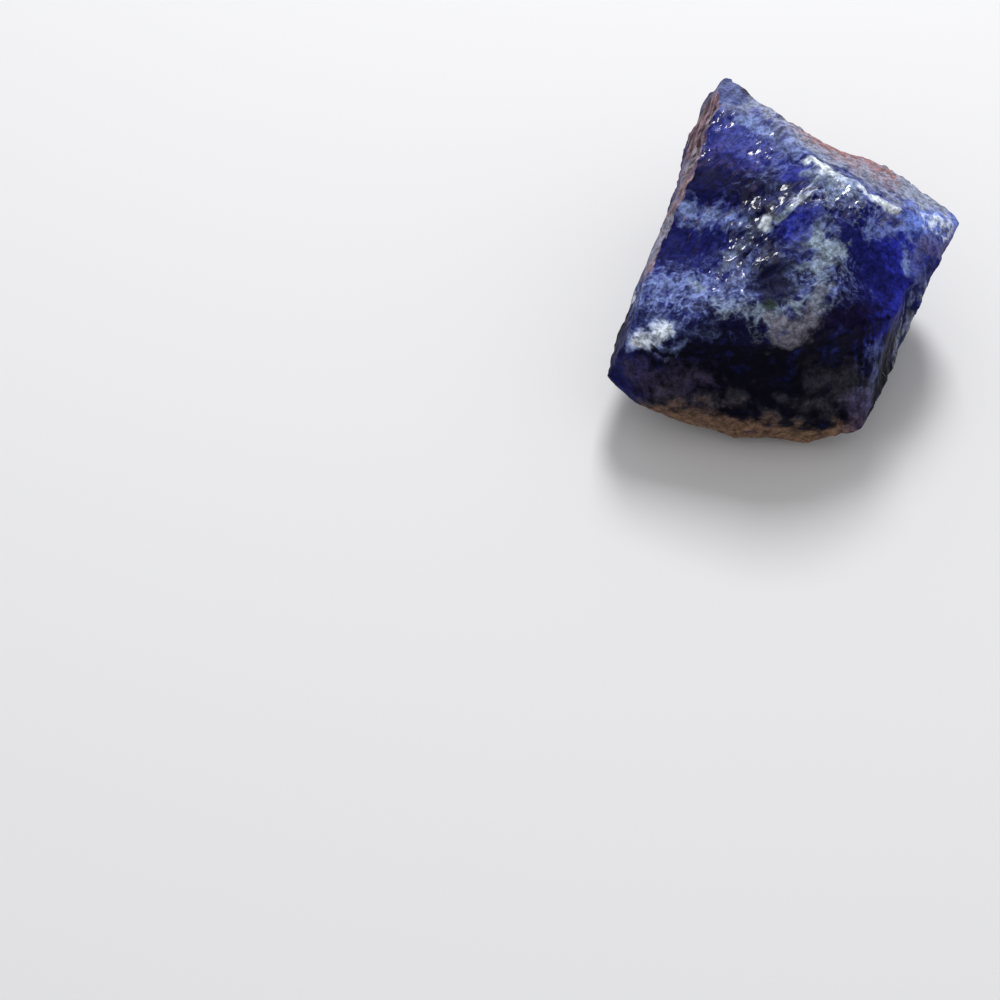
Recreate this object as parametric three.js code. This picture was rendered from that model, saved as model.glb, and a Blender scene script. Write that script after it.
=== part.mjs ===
// A rough lump of sodalite about five centimetres across, as broken from a larger block.
//
// The lump is one solid. A blank with flat break faces gives its form: a broad face on top that leans
// to the front, a dark front face under it, a pointed apex at the back and a pointed tip on the right.
// Flake scars hollow those faces, ledges step them, and a shallow scalloped roughness covers them all
// apart from the flat spot that the lump rests on.
//
// All of it is one function of a point, the distance to the lump's surface, less than zero inside.
// The mesh is that surface, with its flat faces kept flat and the edges between them kept sharp.
//
// Millimetres, +Z up. The origin is on the floor, under the middle of the lump's bounding box.

import * as THREE from "three";
import { ConvexGeometry } from "three/addons/geometries/ConvexGeometry.js";

// --- Driving dimensions ---------------------------------------------------------------------------

const TOP = 28; // height of the crest, the highest line of the lump
const SHOULDER = 22; // height of the edge between the broad top face and the front face
const GIRTH = 9; // height of the lump's widest outline, at the front and the left
const REST = 0.8; // height at which the underside is cut flat
const FACET = 1.3; // size of the mesh's cells

// The corners of the blank, by the stretch of outline or edge that they belong to.
const CORNERS = {
  apex: [[-4.1, 25.1, 21.8], [-6.6, 26.2, 21.1], [-8.4, 25.4, 19.2], [-9.2, 23.8, 15.5]],
  crest: [[-8.1, 15.2, 24.8], [-2.5, 9.2, 26.8], [3, 2.2, TOP], [7.8, -1.8, 27.7], [14.5, -4.3, 25.2]],
  back_rim: [[16.6, 5.6, 21.5]],
  tip: [[24.2, -0.2, 19.1], [23.9, -1.4, 18.2]],
  left_rim: [[-12.4, 15.7, 14], [-20.2, -7, 11]],
  shoulder: [
    [-20.2, -15.4, 19],
    [-21.2, -18.4, 17.5],
    [-10.6, -20, SHOULDER - 0.5],
    [-3.7, -22, SHOULDER + 0.5],
    [4.4, -20.8, SHOULDER + 0.5],
    [12.3, -17.5, 20],
  ],
  right_edge: [[14, -15, 20.5]],
  foot: [
    [-23.8, -18.4, GIRTH],
    [-17.9, -22.3, GIRTH],
    [-8.7, -23.9, GIRTH],
    [-0.5, -24.8, GIRTH],
    [6.5, -24.9, GIRTH],
    [9.8, -25, 6],
  ],
  right_rim: [[22.4, 1.3, 10], [20.3, -3.8, 8], [17.1, -9.7, 6]],
  lower_front: [[-14.7, -21.9, 4], [-5.6, -23.5, 2.5], [2.3, -24, 2]],
  lower_back: [[-6, 19.2, 9], [8, 14.2, 7], [15.5, 6.2, 6], [-13.2, 9, 5]],
  rest: [[-8.5, -10, 0], [-2, -13.5, 0], [6, -12, 0], [9, -4, 0], [4, 2.5, 0], [-6, 1.5, 0]],
};

// Flake scars: shallow round hollows. Each is at a point of the surface, cut along the direction that
// it faces, width across and depth deep on a flat face.
const SCARS = [
  { at: [4.2, 14.8, 21.5], faces: [0.52, 0.68, 0.5], width: 20, depth: 1.7 }, // back rim
  { at: [-4.8, 6.4, 25.6], faces: [-0.3, 0.02, 0.95], width: 17, depth: 1.2 }, // top face, behind
  { at: [-12.4, -4.5, 22.2], faces: [-0.33, -0.06, 0.94], width: 12, depth: 0.8 }, // top face, left
  { at: [-1.2, -11.2, 24.9], faces: [-0.06, -0.2, 0.98], width: 15, depth: 0.9 }, // top face, middle
  { at: [10.9, -11.4, 22.9], faces: [0.4, -0.3, 0.86], width: 13, depth: 1 }, // top face, right
  { at: [-16.3, 4.3, 13.5], faces: [-0.93, 0.29, 0.22], width: 22, depth: 1.2 }, // left flank
  { at: [19.7, -8.2, 13.9], faces: [0.9, -0.36, -0.25], width: 22, depth: 1.9 }, // under the tip
  { at: [-9, -22.3, 15], faces: [-0.16, -0.96, 0.25], width: 18, depth: 1.1 }, // front face, left
  { at: [5.5, -22.9, 14.5], faces: [0.2, -0.94, 0.3], width: 14, depth: 0.9 }, // front face, right
  { at: [-3, 20.6, 14], faces: [0.3, 0.9, -0.3], width: 15, depth: 1.6 }, // back face, high
  { at: [13.5, 8.4, 13.5], faces: [0.66, 0.75, 0.05], width: 16, depth: 1.5 }, // back face, right
  { at: [5.5, 14.3, 10.5], faces: [0.5, 0.8, -0.3], width: 12, depth: 1.2 }, // back face, low
  { at: [-14.5, 10, 9], faces: [-0.85, 0.4, -0.3], width: 14, depth: 1.3 }, // left of the back
  { at: [-15.5, -7, 4], faces: [-0.61, 0.14, -0.78], width: 16, depth: 1.2 }, // left underside
  { at: [-3, 12, 4.5], faces: [-0.04, 0.53, -0.85], width: 15, depth: 1.3 }, // back underside
  { at: [14.5, -8, 4.5], faces: [0.66, -0.27, -0.7], width: 13, depth: 1.1 }, // right underside
];

// Ledges: a slab of the face is broken away on one side of a straight step, length long. along is
// the step's direction, faces the face's, drop the height of the step, and reach how far it runs out.
const LEDGES = [
  {
    at: [16.2, -12, 13.5], // right flank
    along: [0.1, 0.3, 0.95],
    faces: [0.84, -0.52, 0.1],
    length: 11,
    reach: 5,
    drop: 0.8,
  },
  {
    at: [8, 13.5, 14.5], // back face
    along: [-0.7, 0.6, 0.3],
    faces: [0.66, 0.75, 0.07],
    length: 15,
    reach: 6,
    drop: 0.9,
  },
  {
    at: [-14.8, 8.5, 12], // left of the back
    along: [0.3, 0.85, 0.4],
    faces: [-0.92, 0.35, -0.1],
    length: 16,
    reach: 7,
    drop: 0.9,
  },
  {
    at: [-11.5, 8, 23.6], // left edge of the top face
    along: [0.35, 0.93, 0.1],
    faces: [-0.5, 0.1, 0.86],
    length: 12,
    reach: 4,
    drop: 0.6,
  },
];

// Scalloped roughness, coarse to fine: the size of a scallop and how deep it is.
const SCALLOPS = [
  { size: 9, depth: 0.9 },
  { size: 4.2, depth: 0.42 },
];

// --- Form -----------------------------------------------------------------------------------------

const vec = (p) => new THREE.Vector3(...p);

// The planes of the blank's faces, facing out.
function blankPlanes() {
  const corners = new ConvexGeometry(Object.values(CORNERS).flat().map(vec)).getAttribute("position");
  const planes = [];
  for (let i = 0; i < corners.count; i += 3) {
    const [a, b, c] = [0, 1, 2].map((n) => new THREE.Vector3().fromBufferAttribute(corners, i + n));
    planes.push(new THREE.Plane().setFromCoplanarPoints(a, b, c));
  }
  return planes;
}

// The ball that leaves a scar of this width and depth on a flat face.
function scarBall({ at, faces, width, depth }) {
  const radius = (width * width) / 8 / depth + depth / 2;
  return new THREE.Sphere(vec(faces).setLength(radius - depth).add(vec(at)), radius);
}

// The planes round the slab that a ledge loses, facing in: the step, the floor that runs out from
// its foot, and the two ends.
function ledgePlanes({ at, along, faces, length, reach, drop }) {
  const out = vec(faces).normalize();
  const across = out.clone().cross(vec(along)).normalize();
  const run = across.clone().cross(out);
  const foot = vec(at).addScaledVector(out, -drop);
  const end = run.clone().multiplyScalar(length / 2);
  const floor = out.clone().addScaledVector(across, -drop / reach).normalize();
  const plane = (normal, point) => new THREE.Plane().setFromNormalAndCoplanarPoint(normal, point);
  return [
    plane(across, foot),
    plane(floor, foot),
    plane(run, foot.clone().sub(end)),
    plane(run.clone().negate(), foot.clone().add(end)),
  ];
}

const blank = blankPlanes();
const scars = SCARS.map(scarBall);
const ledges = LEDGES.map(ledgePlanes);

// The distance from a point to the lump's surface, less than zero inside.
function lumpField(point) {
  const height = (plane) => plane.distanceToPoint(point);
  const solid = Math.max(
    ...blank.map(height),
    ...scars.map((ball) => -ball.distanceToPoint(point)),
    ...ledges.map((planes) => Math.min(...planes.map(height))),
  );
  return Math.max(solid - roughness(point), REST - point.z);
}

// --- Roughness ------------------------------------------------------------------------------------

// How far the scallops lift the surface at a point. Their ridges stand a little over its planes.
function roughness(point) {
  const level = 0.45;
  return SCALLOPS.reduce((sum, { size, depth }) => sum + depth * (scallop(point, size) - level), 0);
}

// The squared distance to the nearest of the points scattered one to a cell, in cells: it makes
// bowls with sharp ridges between them, as a hackly break does.
function scallop(point, size) {
  const [x, y, z] = point.toArray().map((v) => v / size);
  const [i, j, k] = [x, y, z].map(Math.floor);
  let nearest = Infinity;
  for (let a = i - 1; a <= i + 1; a++)
    for (let b = j - 1; b <= j + 1; b++)
      for (let c = k - 1; c <= k + 1; c++) {
        const dx = a + cellValue(a, b, c, 0) - x;
        const dy = b + cellValue(a, b, c, 1) - y;
        const dz = c + cellValue(a, b, c, 2) - z;
        nearest = Math.min(nearest, dx * dx + dy * dy + dz * dz);
      }
  return nearest;
}

// A number from 0 to 1 that depends only on a cell and a channel.
function cellValue(x, y, z, channel) {
  let h = Math.imul(x, 374761393) ^ Math.imul(y, 668265263) ^ Math.imul(z, 2147483647);
  h = Math.imul(h ^ Math.imul(channel + 1, 1274126177), 1103515245);
  h = Math.imul(h ^ (h >>> 15), 2246822519);
  return ((h ^ (h >>> 13)) >>> 0) / 4294967296;
}

// --- Surface --------------------------------------------------------------------------------------

// The surface of a field inside a box, as a closed mesh with a vertex for each sheet of surface in
// each lattice cell, and four of them joined round each lattice edge that the surface crosses.
function surfaceOf(field, box, cellSize) {
  const counts = box.getSize(new THREE.Vector3()).divideScalar(cellSize).ceil().toArray();
  const place = (corner) => vec(corner).multiplyScalar(cellSize).add(box.min);
  const signs = new Map();
  const isInside = (corner) => {
    const key = corner.join();
    if (!signs.has(key)) signs.set(key, field(place(corner)) < 0);
    return signs.get(key);
  };

  const crossings = new Map();
  const quads = [];
  const crossEdge = (corner, axis) => {
    const next = corner.map((n, a) => (a === axis ? n + 1 : n));
    if (isInside(corner) === isInside(next)) return;
    const ends = [place(corner), place(next)];
    const edge = edgeKey(corner, next);
    const cells = cellsRound(corner, axis);
    crossings.set(edge, crossingOf(field, ...(isInside(corner) ? ends : ends.reverse())));
    quads.push({ edge, cells: isInside(corner) ? cells : cells.reverse() });
  };
  for (let i = 0; i < counts[0]; i++)
    for (let j = 0; j < counts[1]; j++)
      for (let k = 0; k < counts[2]; k++) [0, 1, 2].forEach((axis) => crossEdge([i, j, k], axis));

  const points = [];
  const numbers = new Map();
  for (const cell of new Map(quads.flatMap(({ cells }) => cells.map((c) => [c.join(), c]))).values())
    for (const sheet of sheetsIn(cell, isInside)) {
      for (const edge of sheet) numbers.set(cell + ":" + edge, points.length);
      points.push(meetingPoint([...sheet].map((edge) => crossings.get(edge)), place(cell), cellSize));
    }
  const faces = quads.flatMap(({ edge, cells }) =>
    halves(field, points, cells.map((cell) => numbers.get(cell + ":" + edge))),
  );
  return new THREE.BufferGeometry().setFromPoints(points).setIndex(faces);
}

// A name for the lattice edge between two corners that are next to each other.
function edgeKey(p, q) {
  const axis = p.findIndex((n, a) => n !== q[a]);
  return (p[axis] < q[axis] ? p : q) + "/" + axis;
}

// The four cells round the lattice edge that leaves a corner along an axis, counter-clockwise as
// seen from the edge's far end. A cell goes by its lowest corner.
function cellsRound(corner, axis) {
  const [u, v] = [(axis + 1) % 3, (axis + 2) % 3];
  return [[1, 1], [0, 1], [0, 0], [1, 0]].map(([back, down]) => {
    const cell = [...corner];
    cell[u] -= back;
    cell[v] -= down;
    return cell;
  });
}

// The sheets of surface in a cell, each as the edges that it crosses. On each side of the cell, a
// sheet goes in and out round a run of corners that are inside.
function sheetsIn(cell, isInside) {
  const sheets = new Map();
  for (let axis = 0; axis < 3; axis++)
    for (const side of [0, 1]) {
      const ring = [[0, 0], [1, 0], [1, 1], [0, 1]].map(([du, dv]) => {
        const corner = [...cell];
        corner[axis] += side;
        corner[(axis + 1) % 3] += du;
        corner[(axis + 2) % 3] += dv;
        return corner;
      });
      const at = (n) => ring[(n + 4) % 4];
      for (let last = 0; last < 4; last++) {
        if (!isInside(at(last)) || isInside(at(last + 1))) continue;
        let first = last;
        while (isInside(at(first - 1))) first--;
        joinSheets(sheets, edgeKey(at(first - 1), at(first)), edgeKey(at(last), at(last + 1)));
      }
    }
  return new Set(sheets.values());
}

function joinSheets(sheets, edgeIn, edgeOut) {
  const joined = new Set([edgeIn, edgeOut].flatMap((edge) => [...(sheets.get(edge) ?? [edge])]));
  for (const edge of joined) sheets.set(edge, joined);
}

// Where the surface crosses the line between a point inside and one outside, and its normal there.
function crossingOf(field, inside, outside) {
  const halvings = 20;
  for (let n = 0; n < halvings; n++) {
    const middle = inside.clone().lerp(outside, 0.5);
    if (field(middle) < 0) inside = middle;
    else outside = middle;
  }
  const reach = 0.001;
  const slope = ["x", "y", "z"].map((axis) => {
    const [ahead, behind] = [inside.clone(), inside.clone()];
    ahead[axis] += reach;
    behind[axis] -= reach;
    return field(ahead) - field(behind);
  });
  return { point: inside, normal: vec(slope).normalize() };
}

// The point of a cell that is nearest to the planes of all its crossings, drawn a little to their
// mean, which settles it where they are all alike. It stays clear of the cell's sides.
function meetingPoint(crossings, low, cellSize) {
  const pull = 0.2;
  const margin = 0.03 * cellSize;
  const mean = new THREE.Vector3();
  for (const { point } of crossings) mean.addScaledVector(point, 1 / crossings.length);
  const sums = [pull, 0, 0, 0, pull, 0, 0, 0, pull];
  const target = new THREE.Vector3();
  for (const { point, normal } of crossings) {
    const n = normal.toArray();
    for (let e = 0; e < 9; e++) sums[e] += n[e % 3] * n[Math.floor(e / 3)];
    target.addScaledVector(normal, normal.dot(point.clone().sub(mean)));
  }
  target.applyMatrix3(new THREE.Matrix3().fromArray(sums).invert()).add(mean);
  const high = low.clone().addScalar(cellSize - margin);
  return target.clamp(low.clone().addScalar(margin), high);
}

// A quad as two triangles, parted along the diagonal whose middle is nearer to the surface.
function halves(field, points, [a, b, c, d]) {
  const stray = (p, q) => Math.abs(field(points[p].clone().lerp(points[q], 0.5)));
  return stray(a, c) < stray(b, d) ? [a, b, c, a, c, d] : [b, c, d, b, d, a];
}

// --- The lump -------------------------------------------------------------------------------------

function lumpGeometry() {
  const room = new THREE.Box3().setFromPoints(Object.values(CORNERS).flat().map(vec));
  const lump = surfaceOf(lumpField, room.expandByScalar(2 * FACET), FACET);

  // What is within a hair of the flat spot's plane is put on it.
  const hair = 0.1;
  const places = lump.getAttribute("position");
  for (let i = 0; i < places.count; i++) if (places.getZ(i) < REST + hair) places.setZ(i, REST);

  lump.computeBoundingBox();
  const { min, max } = lump.boundingBox;
  return lump.translate(-(min.x + max.x) / 2, -(min.y + max.y) / 2, -min.z);
}

const sodalite = new THREE.MeshStandardMaterial({ color: 0x262a66, roughness: 0.25, metalness: 0 });

const lump = new THREE.Mesh(lumpGeometry(), sodalite);
lump.name = "sodalite_lump";

const part = new THREE.Group();
part.add(lump);

export default part;
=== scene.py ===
"""A lump of rough sodalite, wet and freshly broken, on a plain pale studio floor.

The lump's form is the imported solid. Here its surface is made fine: the solid is remeshed, softened a
little, worn round at its tip, and then ribbed, terraced and chipped. One procedural material gives the
deep blue body with its pale clouds, webs and veins, each at its own place in the stone.

Places in the stone are in millimetres, in the row frame.
"""

import math

import bpy
import numpy as np
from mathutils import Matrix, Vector, kdtree, noise


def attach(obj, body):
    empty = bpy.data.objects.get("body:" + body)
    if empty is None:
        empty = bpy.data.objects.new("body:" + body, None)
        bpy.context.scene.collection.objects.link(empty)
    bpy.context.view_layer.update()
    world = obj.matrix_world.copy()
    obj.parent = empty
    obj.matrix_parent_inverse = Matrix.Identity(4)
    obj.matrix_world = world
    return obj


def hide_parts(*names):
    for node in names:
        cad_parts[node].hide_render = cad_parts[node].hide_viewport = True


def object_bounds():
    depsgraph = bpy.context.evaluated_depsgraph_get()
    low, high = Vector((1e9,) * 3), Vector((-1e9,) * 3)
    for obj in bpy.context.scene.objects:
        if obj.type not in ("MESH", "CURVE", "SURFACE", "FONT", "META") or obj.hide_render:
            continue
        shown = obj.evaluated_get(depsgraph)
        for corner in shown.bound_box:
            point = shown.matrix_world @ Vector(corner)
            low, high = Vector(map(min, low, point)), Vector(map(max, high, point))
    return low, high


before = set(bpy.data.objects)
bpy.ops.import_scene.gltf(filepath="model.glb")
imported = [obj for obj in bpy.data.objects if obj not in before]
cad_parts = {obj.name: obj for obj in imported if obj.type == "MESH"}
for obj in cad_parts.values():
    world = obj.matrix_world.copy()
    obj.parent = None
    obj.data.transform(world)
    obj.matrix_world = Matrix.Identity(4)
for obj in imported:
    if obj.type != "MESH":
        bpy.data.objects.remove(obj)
cad_low, cad_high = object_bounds()

MM = 0.001

# --- Fine surface ---------------------------------------------------------------------------------

GRAIN = 0.268  # the fine mesh's spacing
# The smoothing that takes the solid's facets out.
SOFTENING = {"rounds": 5, "share": 0.5}

UP = (0, 0, 1)
LEFT = (-1, 0, 0)
BREAK_GRAIN = Vector((0.75, 0.63, 0.2)).normalized()  # the way that the break's relief runs

# Chips, coarse to fine: bowls of this width and depth, with sharp rims between them.
CHIPS = [
    {"width": 2.2, "depth": 0.16, "seed": 11},
    {"width": 1.1, "depth": 0.20, "seed": 12},
    {"width": 0.8, "depth": 0.18, "seed": 13},
]
CHIP_SQUEEZE = 0.5  # the share of a place that is taken off along the grain, to draw the chips out
CHIP_LEVEL = 0.45  # the height up a bowl's side that lies at the surface before chipping
# How rough the break is away from the hackly zones: it swings this much about its middle value, over
# patches of this size, and stays between the least and the most.
QUIET = {"rough": 0.5, "swing": 1.6, "patch": 9.0, "least": 0.2, "most": 1.8}
HOLD = 0.5  # how high above the flat spot the relief has its whole depth
# Where the break is hackly, and so more deeply chipped and glassier: the middle of each zone, its
# reach, and the share of it that is glassy.
HACKLY = [
    {"at": (-5.5, -4, 23.8), "reach": 4.0, "gloss": 1.0},
    {"at": (-5.5, -9, 23), "reach": 4.0, "gloss": 1.0},
    {"at": (-6.3, -6.3, 23), "reach": 3.0, "gloss": 1.0},
    {"at": (-10.5, 9, 21), "reach": 2.5, "gloss": 1.0},
    {"at": (-8, 14.5, 22.5), "reach": 2.5, "gloss": 1.0},
    {"at": (-2.5, 8.5, 24.5), "reach": 3.0, "gloss": 1.0},
    {"at": (1, -2.5, 26.3), "reach": 3.0, "gloss": 1.0},
    {"at": (6.5, -3, 26.2), "reach": 3.0, "gloss": 1.0},
    {"at": (12, -4, 24.3), "reach": 3.0, "gloss": 0.8},
    {"at": (-9, -12.5, 21.5), "reach": 3.0, "gloss": 1.0},
    {"at": (8, 12, 14), "reach": 7.0, "gloss": 0.45},
    {"at": (-12, 12, 10), "reach": 7.0, "gloss": 0.45},
    {"at": (20, -3, 10), "reach": 6.0, "gloss": 0.4},
]
# Low terraces: a gentle slope and then a sharp step, which takes up this share of their spacing. They
# wander by so many spacings, over patches of this size.
TERRACES = {
    "across": Vector((-0.55, 0.75, -0.3)).normalized(),
    "spacing": 2.6,
    "depth": 0.22,
    "step": 0.2,
    "wander": 1.5,
    "patch": 6.0,
}
# The tip, which is worn round: its middle, how far the wear reaches, and its rounds of smoothing, each
# of which moves a vertex this share of the way to its neighbours' middle.
WORN_TIP = {"at": (23, -1.2, 18.4), "reach": 2.0, "rounds": 45, "share": 0.5}
# Ribs down the right flank: their spacing and depth, the share of a place that is taken off along them
# to draw them out, and the middle and reach of the ribbed part.
RIBS = {"width": 1.3, "depth": 0.22, "squeeze": 0.88, "at": (16, -12, 13), "reach": 9}
RIB_OCTAVES = 2
# How far up or down a face's normal points where the ribs begin to fade, and where they are gone.
RIB_LEAN = (0.1875, 0.8125)


def fine_copy(node, name):
    """A copy of a CAD node's mesh, evenly remeshed and softened, as a new object."""
    copy = bpy.data.objects.new(name, node.data.copy())
    bpy.context.scene.collection.objects.link(copy)
    remesh = copy.modifiers.new("even", "REMESH")
    remesh.mode = "VOXEL"
    remesh.voxel_size = GRAIN * MM
    soften = copy.modifiers.new("soften", "SMOOTH")
    soften.factor = SOFTENING["share"]
    soften.iterations = SOFTENING["rounds"]
    shaped = copy.evaluated_get(bpy.context.evaluated_depsgraph_get())
    copy.data = bpy.data.meshes.new_from_object(shaped)
    copy.modifiers.clear()
    copy.data.name = name
    copy.data.materials.clear()
    return copy


def places_of(mesh):
    """The mesh's vertices, in millimetres."""
    places = np.empty(3 * len(mesh.vertices), np.float32)
    mesh.vertices.foreach_get("co", places)
    return places.reshape(-1, 3).astype(float) / MM


def normals_of(mesh):
    """The mesh's vertex normals."""
    normals = np.empty(3 * len(mesh.vertices), np.float32)
    mesh.vertex_normals.foreach_get("vector", normals)
    return normals.reshape(-1, 3).astype(float)


def set_places(mesh, places):
    """Moves the mesh's vertices to these places, in millimetres."""
    mesh.vertices.foreach_set("co", (places * MM).astype(np.float32).ravel())
    mesh.update()


def lift(mesh, height):
    """Moves each vertex out along its normal, by its own height in millimetres."""
    set_places(mesh, places_of(mesh) + normals_of(mesh) * height[:, None])


def bowls(places, width, seed):
    """0 at the middle of each bowl, rising as a square to about 1 at the rims."""
    low, high = places.min(0) - width, places.max(0) + width
    count = int(np.prod(high - low) / width**3)
    middles = np.random.default_rng(seed).uniform(low, high, (count, 3))
    tree = kdtree.KDTree(count)
    for number, middle in enumerate(middles):
        tree.insert(middle, number)
    tree.balance()
    distance = np.array([tree.find(place)[2] for place in places])
    return (distance / width) ** 2


def clouds(places, size, octaves=3):
    """Smooth random values about 0 that change over this size, each octave finer and fainter."""
    fainter, finer = 1.0, 2.0
    return np.array([noise.fractal(Vector(place) / size, fainter, finer, octaves) for place in places])


def nearness(places, zone):
    """1 in the middle of a zone, falling off to 0 over about twice its reach."""
    away = np.linalg.norm(places - zone["at"], axis=1) / zone["reach"]
    return np.exp(-(away**2))


def squeezed(places, along, squeeze):
    """Places with a share taken off along a direction, so that a pattern made at them runs that way."""
    return places - squeeze * np.outer(places @ np.array(along), along)


def held(places):
    """0 on the flat spot, which stays flat, rising to 1 at the height HOLD above it."""
    return np.clip(places[:, 2] / HOLD, 0, 1)


def hackliness(places):
    """How rough the break is at each place: the quiet roughness, and up to 1 more for each zone."""
    swing = 1 + QUIET["swing"] * clouds(places, QUIET["patch"])
    rough = QUIET["rough"] * np.clip(swing, QUIET["least"], QUIET["most"])
    for zone in HACKLY:
        rough += nearness(places, zone)
    return rough


def wear(mesh):
    """Rounds the tip off, by moving its vertices towards their neighbours' middle many times."""
    ends = np.empty(2 * len(mesh.edges), np.int32)
    mesh.edges.foreach_get("vertices", ends)
    near, far = ends.reshape(-1, 2).T
    places = places_of(mesh)
    count = len(places)
    neighbours = np.bincount(ends, minlength=count)
    share = WORN_TIP["share"] * nearness(places, WORN_TIP)
    for _ in range(WORN_TIP["rounds"]):
        for axis in range(3):
            along = places[:, axis]
            total = np.bincount(near, along[far], count) + np.bincount(far, along[near], count)
            places[:, axis] += share * (total / neighbours - along)
    set_places(mesh, places)


def rib(mesh):
    """Raises the ribs, on steep faces alone."""
    places = places_of(mesh)
    ribs = clouds(squeezed(places, UP, RIBS["squeeze"]), RIBS["width"], RIB_OCTAVES)
    steep = np.interp(np.abs(normals_of(mesh)[:, 2]), RIB_LEAN, (1, 0))
    lift(mesh, RIBS["depth"] * ribs * steep * nearness(places, RIBS) * held(places))


def terrace(mesh):
    """Steps the surface into terraces, deepest where the break is hackly."""
    places = places_of(mesh)
    wander = TERRACES["wander"] * clouds(places, TERRACES["patch"])
    steps = places @ np.array(TERRACES["across"]) / TERRACES["spacing"] + wander
    climb = steps - np.floor(steps)
    slope = 1 - TERRACES["step"]
    fall = np.clip((climb - slope) / TERRACES["step"], 0, 1)
    height = climb / slope * (1 - fall) - 0.5
    lift(mesh, TERRACES["depth"] * height * hackliness(places) * held(places))


def chip(mesh):
    """Chips the surface, most deeply where the break is hackly."""
    for chips in CHIPS:
        places = places_of(mesh)
        along_grain = squeezed(places, BREAK_GRAIN, CHIP_SQUEEZE)
        height = bowls(along_grain, chips["width"], chips["seed"]) - CHIP_LEVEL
        lift(mesh, chips["depth"] * height * hackliness(places) * held(places))


# --- Shader parts ---------------------------------------------------------------------------------

MIDDLE = 0.5  # the middle of the values that a noise, a random colour or a pattern takes
# A web: the width of its threads, how much finer its small cells are, and their share in it.
WEB = {"thread": 0.22, "finer": 1.9, "share": 0.45}
THINNING = 0.5  # the cover that a stain loses over its width
STAIN_EDGE = (0.05, 0.95)  # the levels at which a stain begins to show, and is whole
ZONE_EDGE = (1.5, 0.3)  # how many reaches off a zone's middle its gloss begins, and is whole


def connect(tree, node, inputs):
    """Gives a node its inputs, by name or number: a socket is linked, and a value is set."""
    for name, value in dict(inputs).items():
        if isinstance(value, bpy.types.NodeSocket):
            tree.links.new(value, node.inputs[name])
        else:
            node.inputs[name].default_value = value


def add(tree, kind, inputs=(), **settings):
    """A new node, with its settings and its inputs."""
    node = tree.nodes.new(kind)
    for name, value in settings.items():
        setattr(node, name, value)
    connect(tree, node, inputs)
    return node


def use(tree, shared, inputs):
    """A shared node group placed in a tree, with its inputs by name: its outputs."""
    node = add(tree, "ShaderNodeGroup", node_tree=shared)
    connect(tree, node, inputs)
    return node.outputs


def maths(tree, operation, *values, clamp=False):
    """What an operation makes of one to three values."""
    node = add(tree, "ShaderNodeMath", enumerate(values), operation=operation, use_clamp=clamp)
    return node.outputs[0]


def vectors(tree, operation, *values, out="Vector"):
    """What an operation makes of vectors, or of a vector and its scale: a vector or a value."""
    node = add(tree, "ShaderNodeVectorMath", operation=operation)
    names = (0, "Scale") if operation == "SCALE" else (0, 1)
    connect(tree, node, zip(names, values))
    return node.outputs[out]


def blended(tree, share, first, second):
    """The first colour, turned into the second by a share from 0 to 1."""
    inputs = {0: share, 6: first, 7: second}
    return add(tree, "ShaderNodeMix", inputs, data_type="RGBA").outputs[2]


def blended_value(tree, share, first, second):
    """The first value, turned into the second by a share from 0 to 1."""
    return add(tree, "ShaderNodeMix", {0: share, 2: first, 3: second}).outputs[0]


def eased(tree, value, low, high, to_low=0.0, to_high=1.0):
    """A value eased from one range to another, and held at the ends."""
    inputs = {"Value": value, 1: low, 2: high, 3: to_low, 4: to_high}
    return add(tree, "ShaderNodeMapRange", inputs, interpolation_type="SMOOTHSTEP").outputs[0]


def noise_at(tree, place, size, detail, roughness, out="Fac"):
    """Random values from 0 to 1, or a random colour, that change over a size in millimetres."""
    inputs = {"Vector": place, "Scale": 1 / size, "Detail": detail, "Roughness": roughness}
    return add(tree, "ShaderNodeTexNoise", inputs).outputs[out]


def squeezed_place(tree, place, along, squeeze):
    """A place with a share taken off along a direction, so that a pattern drawn at it runs that way."""
    along = Vector(along).normalized()
    run = vectors(tree, "DOT_PRODUCT", place, along, out="Value")
    off = vectors(tree, "SCALE", along, maths(tree, "MULTIPLY", run, squeeze))
    return vectors(tree, "SUBTRACT", place, off)


def facets(tree, place, size, tilt, lean):
    """Flat facets, tilted at random about a common lean: their height, and a random lot for each."""
    cells = add(tree, "ShaderNodeTexVoronoi", {"Vector": place, "Scale": 1 / size}).outputs
    random = vectors(tree, "SUBTRACT", cells["Color"], (MIDDLE,) * 3)
    slope = vectors(tree, "ADD", vectors(tree, "SCALE", random, tilt), lean)
    reach = vectors(tree, "SUBTRACT", place, cells["Position"])
    height = vectors(tree, "DOT_PRODUCT", slope, reach, out="Value")
    lot = add(tree, "ShaderNodeSeparateXYZ", {"Vector": cells["Color"]}).outputs["Z"]
    return height, lot


def group(name, inputs, outputs):
    """An empty shader node group with these sockets: its tree, its input sockets, its output node."""
    tree = bpy.data.node_groups.new(name, "ShaderNodeTree")
    kinds = {float: "NodeSocketFloat", tuple: "NodeSocketVector", list: "NodeSocketColor"}
    for label, value in inputs.items():
        socket = tree.interface.new_socket(label, in_out="INPUT", socket_type=kinds[type(value)])
        socket.default_value = value
    for label, kind in outputs.items():
        tree.interface.new_socket(label, in_out="OUTPUT", socket_type=kind)
    sockets = tree.nodes.new("NodeGroupInput").outputs
    return tree, sockets, tree.nodes.new("NodeGroupOutput")


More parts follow.
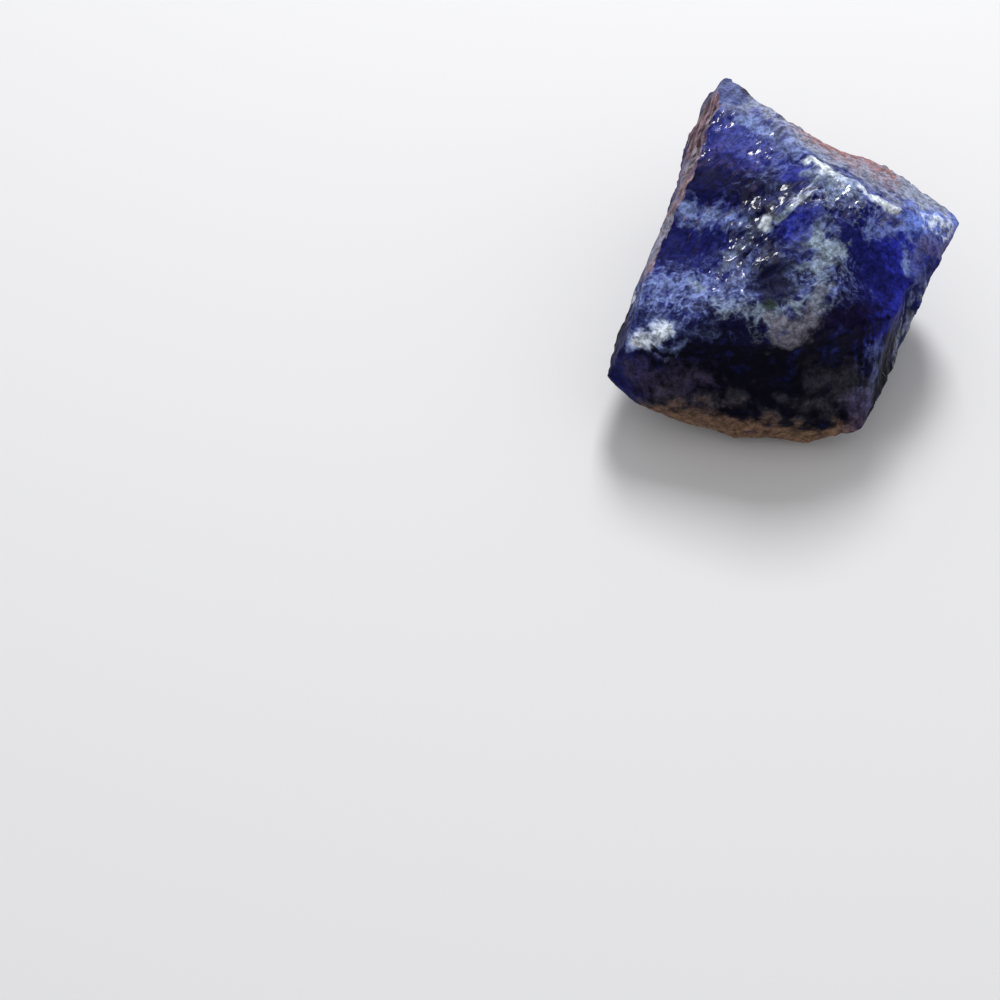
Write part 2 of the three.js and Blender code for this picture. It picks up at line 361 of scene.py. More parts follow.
def ragged_group():
    """A place shifted at random, coarsely and finely, so that what is drawn at it has ragged edges."""
    inputs = {"Place": (0.0, 0.0, 0.0), "Coarse": 4.5, "Fine": 1.8}
    tree, given, result = group("ragged place", inputs, {"Place": "NodeSocketVector"})
    place = given["Place"]
    for size, reach in ((5.0, given["Coarse"]), (1.5, given["Fine"])):
        random = noise_at(tree, given["Place"], size, detail=2.0, roughness=0.5, out="Color")
        shift = vectors(tree, "SUBTRACT", random, (MIDDLE,) * 3)
        place = vectors(tree, "ADD", place, vectors(tree, "SCALE", shift, reach))
    tree.links.new(place, result.inputs[0])
    return tree


def cloud_group():
    """Clouds within clouds, down to fine flecks, as values spread about a half."""
    inputs = {"Place": (0.0, 0.0, 0.0), "Size": 2.5, "Contrast": 2.4, "Detail": 6.0}
    tree, given, result = group("cloud pattern", inputs, {"Pattern": "NodeSocketFloat"})
    scale = maths(tree, "DIVIDE", 1.0, given["Size"])
    settings = {"Vector": given["Place"], "Scale": scale, "Detail": given["Detail"], "Roughness": 0.54}
    billows = add(tree, "ShaderNodeTexNoise", settings).outputs["Fac"]
    spread = maths(tree, "MULTIPLY", maths(tree, "SUBTRACT", billows, MIDDLE), given["Contrast"])
    tree.links.new(maths(tree, "ADD", spread, MIDDLE, clamp=True), result.inputs[0])
    return tree


def web_group():
    """Soft pale threads round darker cells, large and small, from 0 in a cell to 1 on a thread."""
    inputs = {"Place": (0.0, 0.0, 0.0), "Size": 2.0}
    tree, given, result = group("web pattern", inputs, {"Pattern": "NodeSocketFloat"})
    webs = []
    for finer in (1.0, WEB["finer"]):
        scale = maths(tree, "DIVIDE", finer, given["Size"])
        settings = {"Vector": given["Place"], "Scale": scale}
        cells = add(tree, "ShaderNodeTexVoronoi", settings, feature="DISTANCE_TO_EDGE")
        webs.append(eased(tree, cells.outputs["Distance"], WEB["thread"], 0.0))
    tree.links.new(blended_value(tree, WEB["share"], *webs), result.inputs[0])
    return tree


def thread_group():
    """Wispy threads that wander and fork, from 0 between them to 1 on a thread."""
    inputs = {"Place": (0.0, 0.0, 0.0), "Size": 2.2, "Fineness": 6.5}
    tree, given, result = group("thread pattern", inputs, {"Pattern": "NodeSocketFloat"})
    scale = maths(tree, "DIVIDE", 1.0, given["Size"])
    settings = {"Vector": given["Place"], "Scale": scale, "Detail": 3.0, "Roughness": 0.5}
    billows = add(tree, "ShaderNodeTexNoise", settings).outputs["Fac"]
    off = maths(tree, "ABSOLUTE", maths(tree, "SUBTRACT", billows, MIDDLE))
    thread = maths(tree, "SUBTRACT", 1.0, maths(tree, "MULTIPLY", off, given["Fineness"]), clamp=True)
    tree.links.new(thread, result.inputs[0])
    return tree


def stain_group():
    """Tints a colour round a straight stretch through the stone.

    The stain thins out from the stretch and is half gone at its width from it. The pattern breaks it
    up: where the cover is 1, the middle stays whole, and where it is less, only the pattern's peaks show.
    """
    inputs = {
        "Colour": [0.0, 0.0, 0.0, 1.0],
        "Tint": [1.0, 1.0, 1.0, 1.0],
        "Place": (0.0, 0.0, 0.0),
        "From": (0.0, 0.0, 0.0),
        "To": (0.0, 0.0, 0.0),
        "Width": 1.0,
        "Strength": 1.0,
        "Pattern": 0.5,
        "Cover": 1.0,
    }
    tree, given, result = group("stain", inputs, {"Colour": "NodeSocketColor"})
    along = vectors(tree, "SUBTRACT", given["To"], given["From"])
    reach = vectors(tree, "SUBTRACT", given["Place"], given["From"])
    length = vectors(tree, "DOT_PRODUCT", along, along, out="Value")
    run = vectors(tree, "DOT_PRODUCT", reach, along, out="Value")
    share = maths(tree, "DIVIDE", run, length, clamp=True)
    nearest = vectors(tree, "ADD", given["From"], vectors(tree, "SCALE", along, share))
    distance = vectors(tree, "DISTANCE", given["Place"], nearest, out="Value")
    widths_off = maths(tree, "DIVIDE", distance, given["Width"])
    fade = maths(tree, "MULTIPLY_ADD", widths_off, -THINNING, given["Cover"])
    level = maths(tree, "ADD", fade, maths(tree, "SUBTRACT", given["Pattern"], MIDDLE))
    mask = maths(tree, "MULTIPLY", eased(tree, level, *STAIN_EDGE), given["Strength"])
    tree.links.new(blended(tree, mask, given["Colour"], given["Tint"]), result.inputs[0])
    return tree


def zone_group():
    """The gloss before, or a zone's where that is more: whole in its middle and gone past its reach."""
    inputs = {
        "Before": 0.0,
        "Place": (0.0, 0.0, 0.0),
        "Middle": (0.0, 0.0, 0.0),
        "Reach": 1.0,
        "Gloss": 1.0,
    }
    tree, given, result = group("zone", inputs, {"Mask": "NodeSocketFloat"})
    distance = vectors(tree, "DISTANCE", given["Place"], given["Middle"], out="Value")
    reaches_off = maths(tree, "DIVIDE", distance, given["Reach"])
    mask = eased(tree, reaches_off, *ZONE_EDGE, to_high=given["Gloss"])
    tree.links.new(maths(tree, "MAXIMUM", mask, given["Before"]), result.inputs[0])
    return tree


def shade(red, green, blue):
    """A colour given as a screen shows it, from 0 to 255, in the linear values that a node takes."""
    parts = [value / 255 for value in (red, green, blue)]
    linear = [p / 12.92 if p <= 0.04045 else ((p + 0.055) / 1.055) ** 2.4 for p in parts]
    return [*linear, 1.0]


# --- Sodalite -------------------------------------------------------------------------------------

NAVY = shade(18, 21, 79)
ROYAL = shade(50, 56, 140)
DEEP_BLUE = shade(36, 42, 146)
# near-black; over the front face it is partly painted shade
INK = shade(5, 4, 19)
MIDNIGHT = shade(11, 11, 44)
PLUM = shade(14, 7, 36)
PALE_BLUE = shade(134, 152, 208)
# white; one spot of it on the ridge is a painted glint
WHITE = shade(216, 226, 238)
CLOUD_GREY = shade(138, 154, 174)
SLATE = shade(98, 108, 152)
MAUVE = shade(146, 120, 128)
DARK_UMBER = shade(52, 36, 42)
# brown; along the bottom edge it is partly a painted warm reflection
BROWN = shade(120, 94, 76)
# reddish brown: partly rust and partly a painted warm reflection, along the rim behind the crest and along
# the bottom edge
RUST_AND_WARM_REFLECTION = shade(152, 104, 96)
SKY = shade(110, 134, 222)
# a grey; over the slope behind the crest it is partly a painted sky sheen
STRIP_GREY = shade(148, 156, 180)
DUSK_GREY = shade(112, 110, 124)
PURPLE_GREY = shade(80, 70, 102)
OLIVE = shade(32, 44, 36)

# The cloudy patterns: the place that each is drawn at, and its values.
CLOUDY = {
    "body": ("plain", {"Size": 6.0, "Contrast": 2.6}),
    "cloud": ("plain", {"Size": 2.4, "Detail": 4.0}),
    "fleck": ("plain", {"Size": 0.9, "Detail": 2.0}),
    "wisp": ("ragged", {"Size": 1.8, "Contrast": 2.6, "Detail": 5.0}),
    "dot": ("steady", {"Size": 0.5, "Contrast": 4.0, "Detail": 1.0}),
}
# The streaked patterns and the ways that they run, and how far they are drawn out.
STREAKED = {"streak": BREAK_GRAIN, "rib": UP, "along": (0.3, 0.93, 0.2)}
STREAK_SQUEEZE = 0.85
WEB_FLECKS = 0.25  # the share of flecks in the web pattern
# The values of the body pattern between which the body turns lighter, and how far it then does.
BODY_EDGE = (0.3, 1.0)
BODY_LIGHTER = 0.7
FACE_EDGE = (0.45, 0.65)  # how nearly a face looks a skin's way where the skin begins, and is whole
# The fine mottling: the size of its specks, the part that the flecks have in it, the values between
# which it turns from dark to light, and how dark and light it makes the colour.
MOTTLE = {"size": 0.35, "flecks": 0.5, "edge": (0.45, 1.05), "darkest": 0.55, "lightest": 1.55}
# The fine grain, drawn out along the grain of the break.
FINE_GRAIN = {"size": 0.3, "height": 0.06, "strength": 0.5, "squeeze": 0.6}
# The facets: their size, how far they tilt at random, and the slope that they share. Each is glassy
# where its lot times the gloss of its zone is over the second edge, and dull under the first.
FACETS = {"size": 0.6, "tilt": 0.6, "lean": (-0.37, -0.14, -0.05)}
GLASS_EDGE = (0.3, 0.4)


def stain(tint, start, end, width, strength=1.0, pattern="cloud", cover=1.0, ragged=True, face=None):
    """A stain in the stone, or painted light: its tint, the stretch that it follows, its reach to the
    side.

    Where a face is given, the stain is only a skin on the faces that look that way.
    """
    return {
        "values": {"Tint": tint, "From": start, "To": end, "Width": width, "Cover": cover},
        "strength": strength,
        "pattern": pattern,
        "place": "ragged" if ragged else "steady",
        "face": face,
    }


# In the order in which they are laid; some are painted shade, sheen and highlight.
STAINS_AND_PAINTED_LIGHT = [
    # the fine pale mottling over the upper faces
    stain(PALE_BLUE, (-12, -10, 20), (3, -8, 24), 10, 0.45, "fleck", 0.35),
    stain(PALE_BLUE, (-8, 15, 22), (4, 2, 26), 6, 0.38, "fleck", 0.33),
    # saturated blue
    stain(ROYAL, (-7, 13, 23), (-4, 8, 24), 3.6, 0.9),
    stain(ROYAL, (-1, 3, 25.5), (2.5, 1, 26.5), 2.2),
    stain(DEEP_BLUE, (11.5, -5, 22.5), (13, -14, 19), 4.2, 0.95),
    # dark parts
    # near-black over the front face and along its upper edge: partly the stone's dark colour and partly
    # painted shade on the face turned away from the light
    stain(INK, (-22, -22, 10), (9, -24, 10), 9, 1.0, "cloud", 1.3),
    stain(INK, (-9.5, -19, 19), (8, -20.5, 18.2), 2.8),
    stain(NAVY, (-22, -17.5, 13), (-22, -19.5, 7), 3.0, 0.9),
    stain(PALE_BLUE, (-17, -19.3, 16.8), (-11, -18.8, 19), 1.6, 0.5, "wisp", 0.6),
    stain(PLUM, (6.5, -17, 21), (9.5, -17.5, 19.5), 3.6),
    stain(NAVY, (11, -8, 21.5), (12.5, -16, 18.5), 3.0, 0.7, "rib", 0.6),
    stain(NAVY, (9.8, -18, 18.6), (10.5, -19.6, 15), 1.8, 0.8, "rib", 0.9),
    stain(DEEP_BLUE, (13, -13, 19.5), (11, -19, 16.5), 1.8, 0.55, "rib", 0.9),
    stain(MIDNIGHT, (-11.5, 3, 22), (-2, -0.5, 25.2), 3.2, 1.0),
    stain(MIDNIGHT, (-5, -5.5, 23.5), (-8, -8, 22.5), 3.0, 0.7),
    stain(SLATE, (-2.6, -0.4, 25.1), (-1.2, -2.6, 25.4), 1.5, 0.2, "wisp"),
    stain(NAVY, (-13, -3, 20.3), (-12, -7.5, 20.5), 3.4, 1.0, "cloud", 1.2),
    stain(CLOUD_GREY, (-5.4, -4.4, 23.5), (-7.5, -8, 22.6), 1.4, 0.3, "wisp", 0.65),
    stain(NAVY, (7, -7, 24.5), (8, -12, 22), 3.4, 0.9),
    # slate apex and the strip along the back of the crest
    stain(SLATE, (-6.6, 21, 22.8), (-4.6, 17, 23.6), 4, 0.85),
    # the pale grey of the slope behind the crest: partly the stone's colour and partly a painted sky sheen
    # at a grazing angle
    stain(STRIP_GREY, (-1, 13, 23), (18, 1.8, 20.8), 3.2, 0.95, "cloud", 1.3),
    stain(ROYAL, (-6, 12, 23), (-2.5, 8.5, 24), 2.6, 0.9),
    stain(MAUVE, (1.5, 11.5, 23.6), (13, 5, 22.2), 1.9, 0.75, "wisp", 0.9),
    stain(MAUVE, (6.5, 6.5, 24), (12, 3.2, 23.1), 1.4, 0.5, "wisp", 0.95),
    # paler still on that slope: partly a painted sky sheen
    stain(PALE_BLUE, (0.4, 8, 25.4), (2.6, 5.4, 26), 1.2, 0.45, "wisp", 0.9),
    # reddish along the rim behind the crest: partly rust and partly a painted warm reflection
    stain(RUST_AND_WARM_REFLECTION, (2.6, 11.9, 23.2), (13.3, 6.5, 21.4), 1.1, 0.75, "along", 1.05),
    stain(DARK_UMBER, (-4.4, 20.8, 22.2), (-1.2, 15.8, 23), 0.6, 0.85, "wisp", 1.25, ragged=False),
    stain(DARK_UMBER, (-1.6, 15.6, 23.3), (1.4, 12.4, 23.2), 0.7, 0.75, "along", 1.1),
    stain(PALE_BLUE, (-5.5, 13.7, 23.6), (-1.5, 9.4, 24.8), 0.5, 0.9, "wisp", 1.15, ragged=False),
    # pale clouds and webs
    stain(ROYAL, (-20, -12, 17.5), (-10, -14.5, 20.7), 4.0, 0.35),
    stain(PALE_BLUE, (-18.5, -12, 18), (-9.5, -15, 21), 4.6, 0.7, "web", 0.48),
    stain(PALE_BLUE, (-18.5, -12, 18), (2, -14, 22.5), 4.6, 0.35, "thread", 0.35),
    stain(PALE_BLUE, (-19, -12, 18), (-10, -15, 21), 4.0, 0.5, "dot", 0.25),
    stain(PALE_BLUE, (-18.5, -11, 18), (-9, -15.5, 21), 4.0, 0.5, "wisp", 0.28),
    stain(PALE_BLUE, (-8, -13, 22), (4, -13, 23), 4.0, 0.5, "dot", 0.3),
    stain(PALE_BLUE, (-4, 5, 25), (12, -3, 25), 4.0, 0.4, "web", 0.45),
    stain(PALE_BLUE, (-13, 0, 20.8), (-8.2, -3.2, 22), 1.3, 0.75, "wisp", 0.95),
    stain(CLOUD_GREY, (-8, -10.5, 22), (1, -14.5, 22.5), 3.2, 0.5, "wisp", 0.5),
    stain(CLOUD_GREY, (2.3, -7.2, 24.2), (4, -10.5, 23.7), 1.7, 1.0, "wisp", 1.1),
    stain(CLOUD_GREY, (1.6, -11.5, 23.2), (3, -17, 22.6), 1.7, 0.5, "wisp", 0.7),
    stain(MIDNIGHT, (-1.2, -11, 23), (-3.5, -13, 22.6), 1.6, 0.9),
    stain(NAVY, (-0.3, -9.8, 23.4), (0.4, -8, 24), 1.0, 0.8),
    stain(INK, (4, -12.8, 23.4), (3.4, -10.8, 23.6), 0.8, 0.8),
    stain(MIDNIGHT, (-11, -18.2, 19.6), (-5.6, -19.8, 20.9), 1.7, 0.95, "cloud", 1.1),
    stain(CLOUD_GREY, (-8.5, -16.6, 21.4), (-3.2, -18.8, 21.9), 1.7, 0.5, "web", 0.75),
    stain(CLOUD_GREY, (-2, -18.2, 22), (2.6, -17, 22.8), 1.5, 0.5, "web", 0.75),
    stain(DUSK_GREY, (-2.6, -20, 21.5), (-1.5, -21, 20.4), 1.5, 0.8, "cloud", 1.0),
    stain(DUSK_GREY, (-0.6, -20.6, 21.2), (0.8, -20, 21.6), 1.3, 0.4, "wisp", 0.9),
    stain(DUSK_GREY, (1.2, -18.6, 22), (2.6, -16.6, 22.8), 1.0, 0.6, "wisp", 0.9),
    stain(MIDNIGHT, (-4.4, -13.4, 22.4), (-2, -14.9, 22.3), 1.5, 0.9, "wisp", 1.2, ragged=False),
    stain(OLIVE, (-3.8, -16.9, 22.2), (-3.3, -17.3, 22.1), 0.6, 0.9, "fleck", 1.1, ragged=False),
    stain(PALE_BLUE, (3.4, -2.2, 26.4), (8, -4.2, 25.6), 2.0, 0.4, "web", 0.55),
    stain(WHITE, (3, -3, 26.2), (11, -4.5, 24.5), 2.0, 0.4, "dot", 0.22),
    stain(PALE_BLUE, (-5, 11, 23.8), (2, 5, 25.7), 1.6, 0.4, "dot", 0.2),
    stain(PURPLE_GREY, (-9.5, 8, 22), (-3.5, 3.5, 24.3), 3.5, 0.42, "streak", 0.5),
    stain(DEEP_BLUE, (-0.8, -6.3, 24.6), (1.8, -4.8, 25.2), 1.3, 0.8, "wisp", 1.1),
    stain(ROYAL, (-0.5, 1.8, 25.9), (0.8, 1.2, 26.1), 1.2),
    stain(PALE_BLUE, (11, -5.5, 23), (15.8, -4.5, 22.5), 1.5, 0.6, "wisp", 0.9),
    stain(SKY, (16, -3.8, 22.3), (22.4, -1.6, 19.1), 2.0, 0.9, "wisp", 1.1),
    stain(SLATE, (16.8, -7.5, 20.2), (16.4, -11, 18), 1.8, 0.45, "wisp", 0.9),
    stain(PURPLE_GREY, (22.8, -2, 18.8), (20, -4.4, 19), 1.3, 0.65, "wisp", 0.95),
    stain(PURPLE_GREY, (20, -4.4, 19), (17.4, -6.4, 20.2), 1.5, 0.6, "wisp", 0.9),
    # white veins in paler halos; a ridge streak that is partly painted highlight, and a painted glint
    stain(CLOUD_GREY, (3.5, 1, 26.7), (7.5, -1.8, 26.6), 1.5, 0.6, "wisp", 1.1),
    stain(WHITE, (2.9, 3, 26.8), (6.4, -0.3, 26.8), 0.68, 1.0, "wisp", 1.2, ragged=False),
    stain(PALE_BLUE, (6.2, -0.4, 26.8), (10, -2, 26), 0.9, 0.6, "wisp", 0.9, ragged=False),
    stain(WHITE, (9, -1.6, 26.4), (13.4, -3.1, 24.3), 0.42, 1.0, "wisp", 1.2, ragged=False),
    # a pale streak along the ridge, down to its grey end: partly pale veining and partly a painted
    # highlight on the ridge's edge
    stain(WHITE, (-0.6, -4, 25.6), (3.2, -0.6, 26.6), 0.8, 1.0, "streak", 0.5, ragged=False),
    stain(CLOUD_GREY, (-3.6, -5.8, 24.3), (-0.6, -4, 25.6), 0.7, 0.8, "streak", 0.8, ragged=False),
    # a painted glint: a white spot where the ridge catches the light
    stain(WHITE, (-3.7, -5.8, 24.2), (-3.3, -5.1, 24.4), 0.45, 0.95, "wisp", 1.15, ragged=False),
    stain(PALE_BLUE, (-20.2, -18.4, 16), (-15.8, -18.2, 19), 1.2, 0.8, "wisp", 0.95, ragged=False),
    stain(WHITE, (-19.4, -18.6, 16.4), (-16.4, -18.3, 18.7), 0.75, 0.95, "wisp", 1.1, ragged=False),
    stain(CLOUD_GREY, (-13.6, -12.6, 20.3), (-9.4, -15.9, 21), 0.5, 0.7, "wisp", 0.8),
    stain(PALE_BLUE, (14.4, -4.4, 22.7), (14.6, -10, 19.9), 0.35, 0.6, "wisp", 0.95, ragged=False),
    stain(WHITE, (17.8, -2.7, 21.5), (21, -2, 19.7), 1.2, 0.8, "web", 0.85),
    # streaks down the right flank
    stain(STRIP_GREY, (17.6, -9.5, 14.5), (14.8, -14, 7), 3.4, 0.65, "rib", 0.6),
    # low on the front and on faces that look left; the brown and red at the bottom are partly painted
    # reflection
    stain(DUSK_GREY, (-17, -21.5, 9), (4, -23, 8), 4.0, 0.28, "cloud", 0.5),
    stain(PURPLE_GREY, (-19, -20, 12), (-13, -20.5, 11), 2.6, 0.35, "wisp", 0.8),
    stain(DUSK_GREY, (3.5, -22.4, 14), (8, -21.8, 11.5), 2.6, 0.14, "cloud", 0.8),
    stain(SLATE, (10.8, -19.3, 15.5), (9.6, -22, 10), 1.6, 0.5, "rib", 0.8),
    # brown and red along the bottom edge, on the faces turned down: partly the stone's skin and partly a
    # painted warm reflection
    stain(BROWN, (-16, -22.5, 3.6), (8, -24.5, 2.6), 2.8, 0.95, "cloud", 1.05),
    stain(RUST_AND_WARM_REFLECTION, (-10, -22.8, 1.2), (4, -23.5, 0.8), 1.0, 0.5),
    stain(PURPLE_GREY, (8.8, -24, 5.5), (9.2, -22.6, 9), 1.5, 0.5),
    stain(MAUVE, (-11, 17, 18), (-18, -5, 15), 4.4, 0.75, "wisp", 0.55, face=LEFT),
    stain(MAUVE, (-9.5, 17.5, 21.5), (-16.5, -5, 19), 2.4, 0.9, "cloud", 1.2, face=LEFT),
    stain(DARK_UMBER, (-10.5, 18, 20), (-16, -4, 18), 3.0, 0.9, "along", 0.72, face=LEFT),
    stain(NAVY, (-12, 15, 16.5), (-17.5, -4, 14.5), 2.4, 0.85, "along", 0.7, face=LEFT),
    stain(DARK_UMBER, (-9, 15.5, 22), (-11.3, 8.5, 21), 0.9, 0.85, "along", 0.95, face=LEFT),
    stain(SLATE, (-11, 9, 19), (-15.5, 3, 17), 1.8, 0.6, "wisp", 0.8, face=LEFT),
    stain(STRIP_GREY, (-13, 8, 19.8), (-17, -2, 18.2), 2.0, 0.7, "along", 0.55, face=LEFT),
    stain(STRIP_GREY, (-15.5, 0, 19.2), (-17.5, -6, 17.5), 1.5, 0.6, "wisp", 0.9, face=LEFT),
    # round the back
    stain(INK, (-14, 14, 7), (2, 19, 9), 4.5, 0.85, "cloud", 0.9),
    stain(NAVY, (18, 6, 12), (9, 14, 5), 4.0, 0.8, "cloud", 0.9),
    stain(MAUVE, (-1, 15, 20), (14, 9, 18.5), 3.0, 0.7, "wisp", 0.8),
    stain(BROWN, (2, 16.5, 16), (13, 10, 15), 2.2, 0.7, "along", 0.8),
    stain(PALE_BLUE, (-13, 16, 10), (5, 17, 12), 4.0, 0.6, "web", 0.5),
    stain(CLOUD_GREY, (-2, 17.5, 9), (6, 15.5, 6), 2.2, 0.7, "wisp", 0.8),
    stain(WHITE, (-12, 15, 13), (4, 17, 8.5), 0.5, 0.9, "wisp", 1.1, ragged=False),
    stain(SLATE, (14, 8, 9), (18, 3, 6), 3.0, 0.7, "wisp", 0.8),
    # along the left flank and the right one, low down
    stain(INK, (-21, -10, 8), (-15, 8, 5), 5.0, 0.8, "cloud", 0.8),
    stain(PALE_BLUE, (-20, -4, 11), (-14, 10, 10), 3.6, 0.6, "web", 0.55),
    stain(CLOUD_GREY, (-19, -8, 9), (-17, 3, 5), 1.6, 0.7, "wisp", 0.9),
    stain(WHITE, (-20, -9, 12), (-14, 6, 4), 0.4, 0.8, "wisp", 1.1, ragged=False),
    stain(INK, (19, -8, 7), (17, 3, 4), 4.0, 0.8, "cloud", 0.8),
    stain(PALE_BLUE, (21, -3, 13), (15, 4, 5), 2.6, 0.6, "web", 0.6),
    stain(WHITE, (21, -5, 12), (15, 2, 3.5), 0.4, 0.8, "wisp", 1.0, ragged=False),
    # underneath
    stain(INK, (-8, -8, 0), (8, 2, 0), 12, 0.8, "cloud", 0.8),
    stain(BROWN, (-6, 2, 0.5), (6, -12, 0.5), 5.0, 0.6, "wisp", 0.5),
    stain(CLOUD_GREY, (-12, -2, 2), (6, 8, 3), 1.8, 0.6, "wisp", 0.7),
]


def places_in(tree, place):
    """A place as it is, and shifted at random, much and little."""
    shifted = ragged_group()
    return {
        "plain": place,
        "ragged": use(tree, shifted, {"Place": place})["Place"],
        "steady": use(tree, shifted, {"Place": place, "Coarse": 1.4, "Fine": 0.7})["Place"],
    }


def patterns_at(tree, places):
    """The patterns of the body and its stains, by name."""
    cloud = cloud_group()
    patterns = {}
    for name, (place, values) in CLOUDY.items():
        patterns[name] = use(tree, cloud, {"Place": places[place], **values})["Pattern"]
    for name, along in STREAKED.items():
        drawn = squeezed_place(tree, places["plain"], along, STREAK_SQUEEZE)
        patterns[name] = use(tree, cloud, {"Place": drawn, "Size": 0.7, "Contrast": 3.2})["Pattern"]
    web = use(tree, web_group(), {"Place": places["steady"]})["Pattern"]
    patterns["web"] = blended_value(tree, WEB_FLECKS, web, patterns["fleck"])
    threads = use(tree, thread_group(), {"Place": places["steady"], "Fineness": 4.0})
    patterns["thread"] = threads["Pattern"]
    return patterns


def stained(tree, colour, places, patterns, normal):
    """A colour with every stain laid over it in turn, painted shade, sheen and highlight among them."""
    shared = stain_group()
    for mark in STAINS_AND_PAINTED_LIGHT:
        strength = mark["strength"]
        if mark["face"]:
            looking = vectors(tree, "DOT_PRODUCT", normal, mark["face"], out="Value")
            strength = eased(tree, looking, *FACE_EDGE, to_high=strength)
        inputs = {"Colour": colour, "Strength": strength, **mark["values"]}
        inputs["Place"] = places[mark["place"]]
        inputs["Pattern"] = patterns[mark["pattern"]]
        colour = use(tree, shared, inputs)["Colour"]
    return colour


def mottled(tree, colour, flecks, place):
    """A colour made darker and lighter in fine specks."""
    specks = noise_at(tree, place, MOTTLE["size"], detail=2.0, roughness=0.6)
    mottle = maths(tree, "MULTIPLY_ADD", flecks, MOTTLE["flecks"], specks)
    value = eased(tree, mottle, *MOTTLE["edge"], MOTTLE["darkest"], MOTTLE["lightest"])
    return add(tree, "ShaderNodeHueSaturation", {"Value": value, "Color": colour}).outputs[0]


def bumped(tree, height, distance, strength, normal=None):
    """The surface's normal, or the one given, tilted by a height over a distance in millimetres."""
    inputs = {"Strength": strength, "Distance": distance * MM, "Height": height}
    if normal:
        inputs["Normal"] = normal
    return add(tree, "ShaderNodeBump", inputs).outputs[0]


def gloss_at(tree, place):
    """How glassy the stone is: the gloss of each hackly zone, and 0 away from them all."""
    zone = zone_group()
    gloss = 0.0
    for hackly in HACKLY:
        inputs = {"Before": gloss, "Place": place, "Middle": hackly["at"]}
        inputs.update({"Reach": hackly["reach"], "Gloss": hackly["gloss"]})
        gloss = use(tree, zone, inputs)["Mask"]
    return gloss


def sodalite():
    """Deep blue stone with its stains and some painted shade, sheen and highlight, and glassy facets in
    its hackly zones.
    """
    material = bpy.data.materials.new("sodalite")
    material.use_nodes = True
    tree = material.node_tree
    tree.nodes.clear()
    coordinates = add(tree, "ShaderNodeTexCoord").outputs
    places = places_in(tree, vectors(tree, "SCALE", coordinates["Object"], 1 / MM))
    patterns = patterns_at(tree, places)
    lighter = eased(tree, patterns["body"], *BODY_EDGE, to_high=BODY_LIGHTER)
    body = blended(tree, lighter, NAVY, ROYAL)
    colour = stained(tree, body, places, patterns, coordinates["Normal"])

    drawn = squeezed_place(tree, places["plain"], BREAK_GRAIN, FINE_GRAIN["squeeze"])
    grain = noise_at(tree, drawn, FINE_GRAIN["size"], detail=4.0, roughness=0.6)
    normal = bumped(tree, grain, FINE_GRAIN["height"], FINE_GRAIN["strength"])
    height, lot = facets(tree, drawn, **FACETS)
    gloss = maths(tree, "MULTIPLY", gloss_at(tree, places["ragged"]), lot)
    finish = {
        "Base Color": mottled(tree, colour, patterns["fleck"], places["steady"]),
        "Roughness": 0.5,
        "IOR": 1.48,
        "Specular IOR Level": 0.04,
        "Coat Weight": eased(tree, gloss, *GLASS_EDGE),
        "Coat Roughness": 0.06,
        "Coat IOR": 1.55,
        "Normal": normal,
        "Coat Normal": bumped(tree, height, 1.0, 1.0, normal),
    }
    surface = add(tree, "ShaderNodeBsdfPrincipled", finish).outputs[0]
    add(tree, "ShaderNodeOutputMaterial", {"Surface": surface})
    return material


# --- The lump -------------------------------------------------------------------------------------


def make_lump():
    """The lump with its fine surface, kept inside the solid's box."""
    lump = fine_copy(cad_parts["sodalite_lump"], "sodalite_surface")
    wear(lump.data)
    rib(lump.data)
    terrace(lump.data)
    chip(lump.data)
    in_box = np.clip(places_of(lump.data), np.array(cad_low) / MM, np.array(cad_high) / MM)
    set_places(lump.data, in_box)
    lump.data.shade_smooth()
    lump.data.materials.append(sodalite())
    return lump


lump = make_lump()
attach(lump, "root")
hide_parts("sodalite_lump")

# --- Studio ---------------------------------------------------------------------------------------

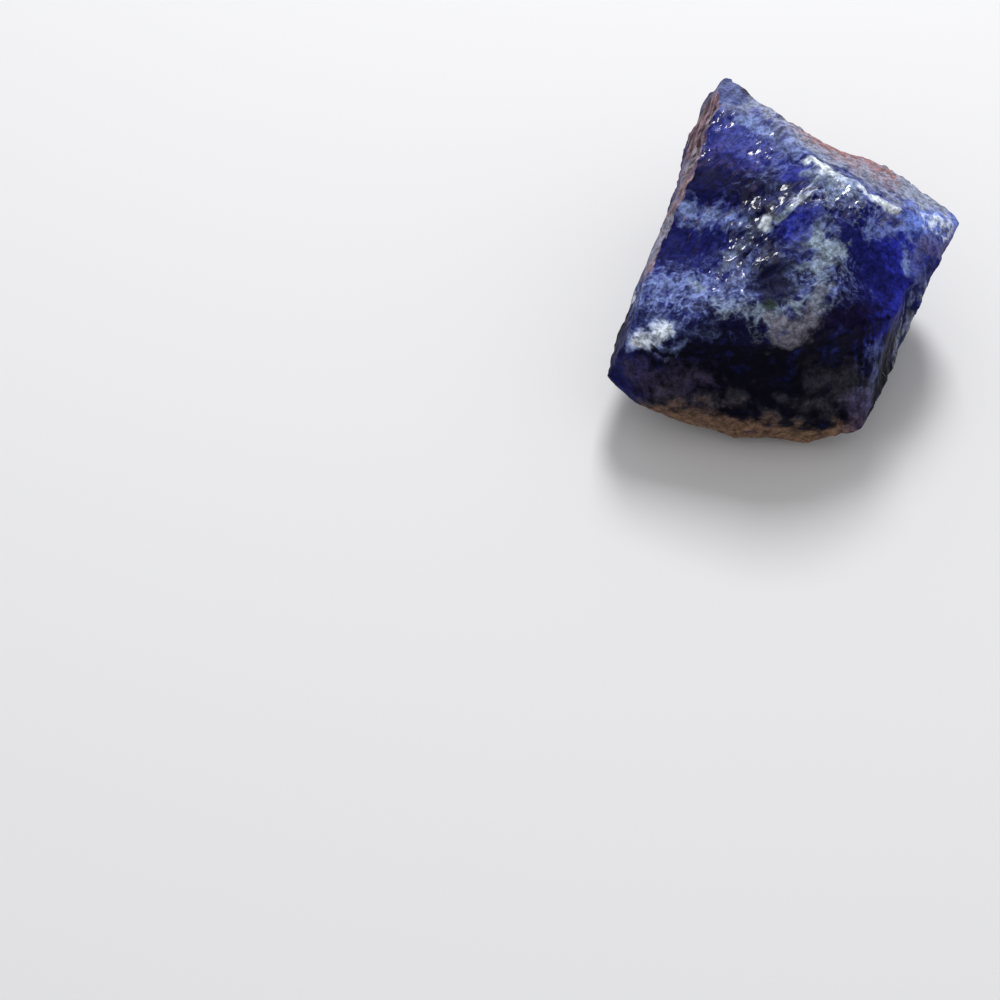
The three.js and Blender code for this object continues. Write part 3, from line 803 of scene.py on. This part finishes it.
# The floor and the light are in metres, watts and degrees.
FLOOR_SIZE = 3.0
KEY_LIGHT = {"azimuth": 176, "elevation": 54, "distance": 0.6, "width": 0.16, "height": 0.24, "power": 2.4}
LIT_POINT = Vector((0, 0, 0.015))  # what the light faces
AIR_LIGHT = 0.5  # the strength of the even light from all round
CAMERA_ELEVATION = math.radians(55)
CAMERA_PLACE = Vector((-37.2, -185.75, 220.37)) * MM
LENS = {"lens": 75, "sensor_width": 36, "clip_start": 0.01}


def make_floor():
    """A plain pale floor."""
    bpy.ops.mesh.primitive_plane_add(size=FLOOR_SIZE)
    floor = bpy.context.object
    floor.name = "studio_floor"
    material = bpy.data.materials.new("pale floor")
    material.use_nodes = True
    surface = material.node_tree.nodes["Principled BSDF"]
    surface.inputs["Base Color"].default_value = shade(238, 238, 240)
    surface.inputs["Roughness"].default_value = 0.8
    floor.data.materials.append(material)


def soft_light(name, azimuth, elevation, distance, width, height, power):
    """A panel light that faces the lump. Azimuth 0 is in front of it, and 90 on its right."""
    light = bpy.data.lights.new(name, "AREA")
    light.shape = "RECTANGLE"
    light.size = width
    light.size_y = height
    light.energy = power
    lamp = bpy.data.objects.new(name, light)
    bpy.context.scene.collection.objects.link(lamp)
    turn, rise = math.radians(azimuth), math.radians(elevation)
    back = Vector((math.sin(turn) * math.cos(rise), -math.cos(turn) * math.cos(rise), math.sin(rise)))
    lamp.location = LIT_POINT + back * distance
    lamp.rotation_euler = back.to_track_quat("Z", "Y").to_euler()


def make_studio():
    """The floor, the key light from behind the lump, and an even light from all round."""
    make_floor()
    soft_light("key", **KEY_LIGHT)
    world = bpy.data.worlds.new("studio air")
    world.use_nodes = True
    air = world.node_tree.nodes["Background"]
    air.inputs["Color"].default_value = (1, 1, 1, 1)
    air.inputs["Strength"].default_value = AIR_LIGHT
    bpy.context.scene.world = world


def make_camera():
    """A camera that looks down on the lump from the front."""
    lens = bpy.data.cameras.new("camera")
    for name, value in LENS.items():
        setattr(lens, name, value)
    camera = bpy.data.objects.new("camera", lens)
    camera.location = CAMERA_PLACE
    camera.rotation_euler = (math.pi / 2 - CAMERA_ELEVATION, 0, 0)
    bpy.context.scene.collection.objects.link(camera)
    bpy.context.scene.camera = camera


make_studio()
make_camera()
bpy.context.scene.view_settings.view_transform = "Standard"
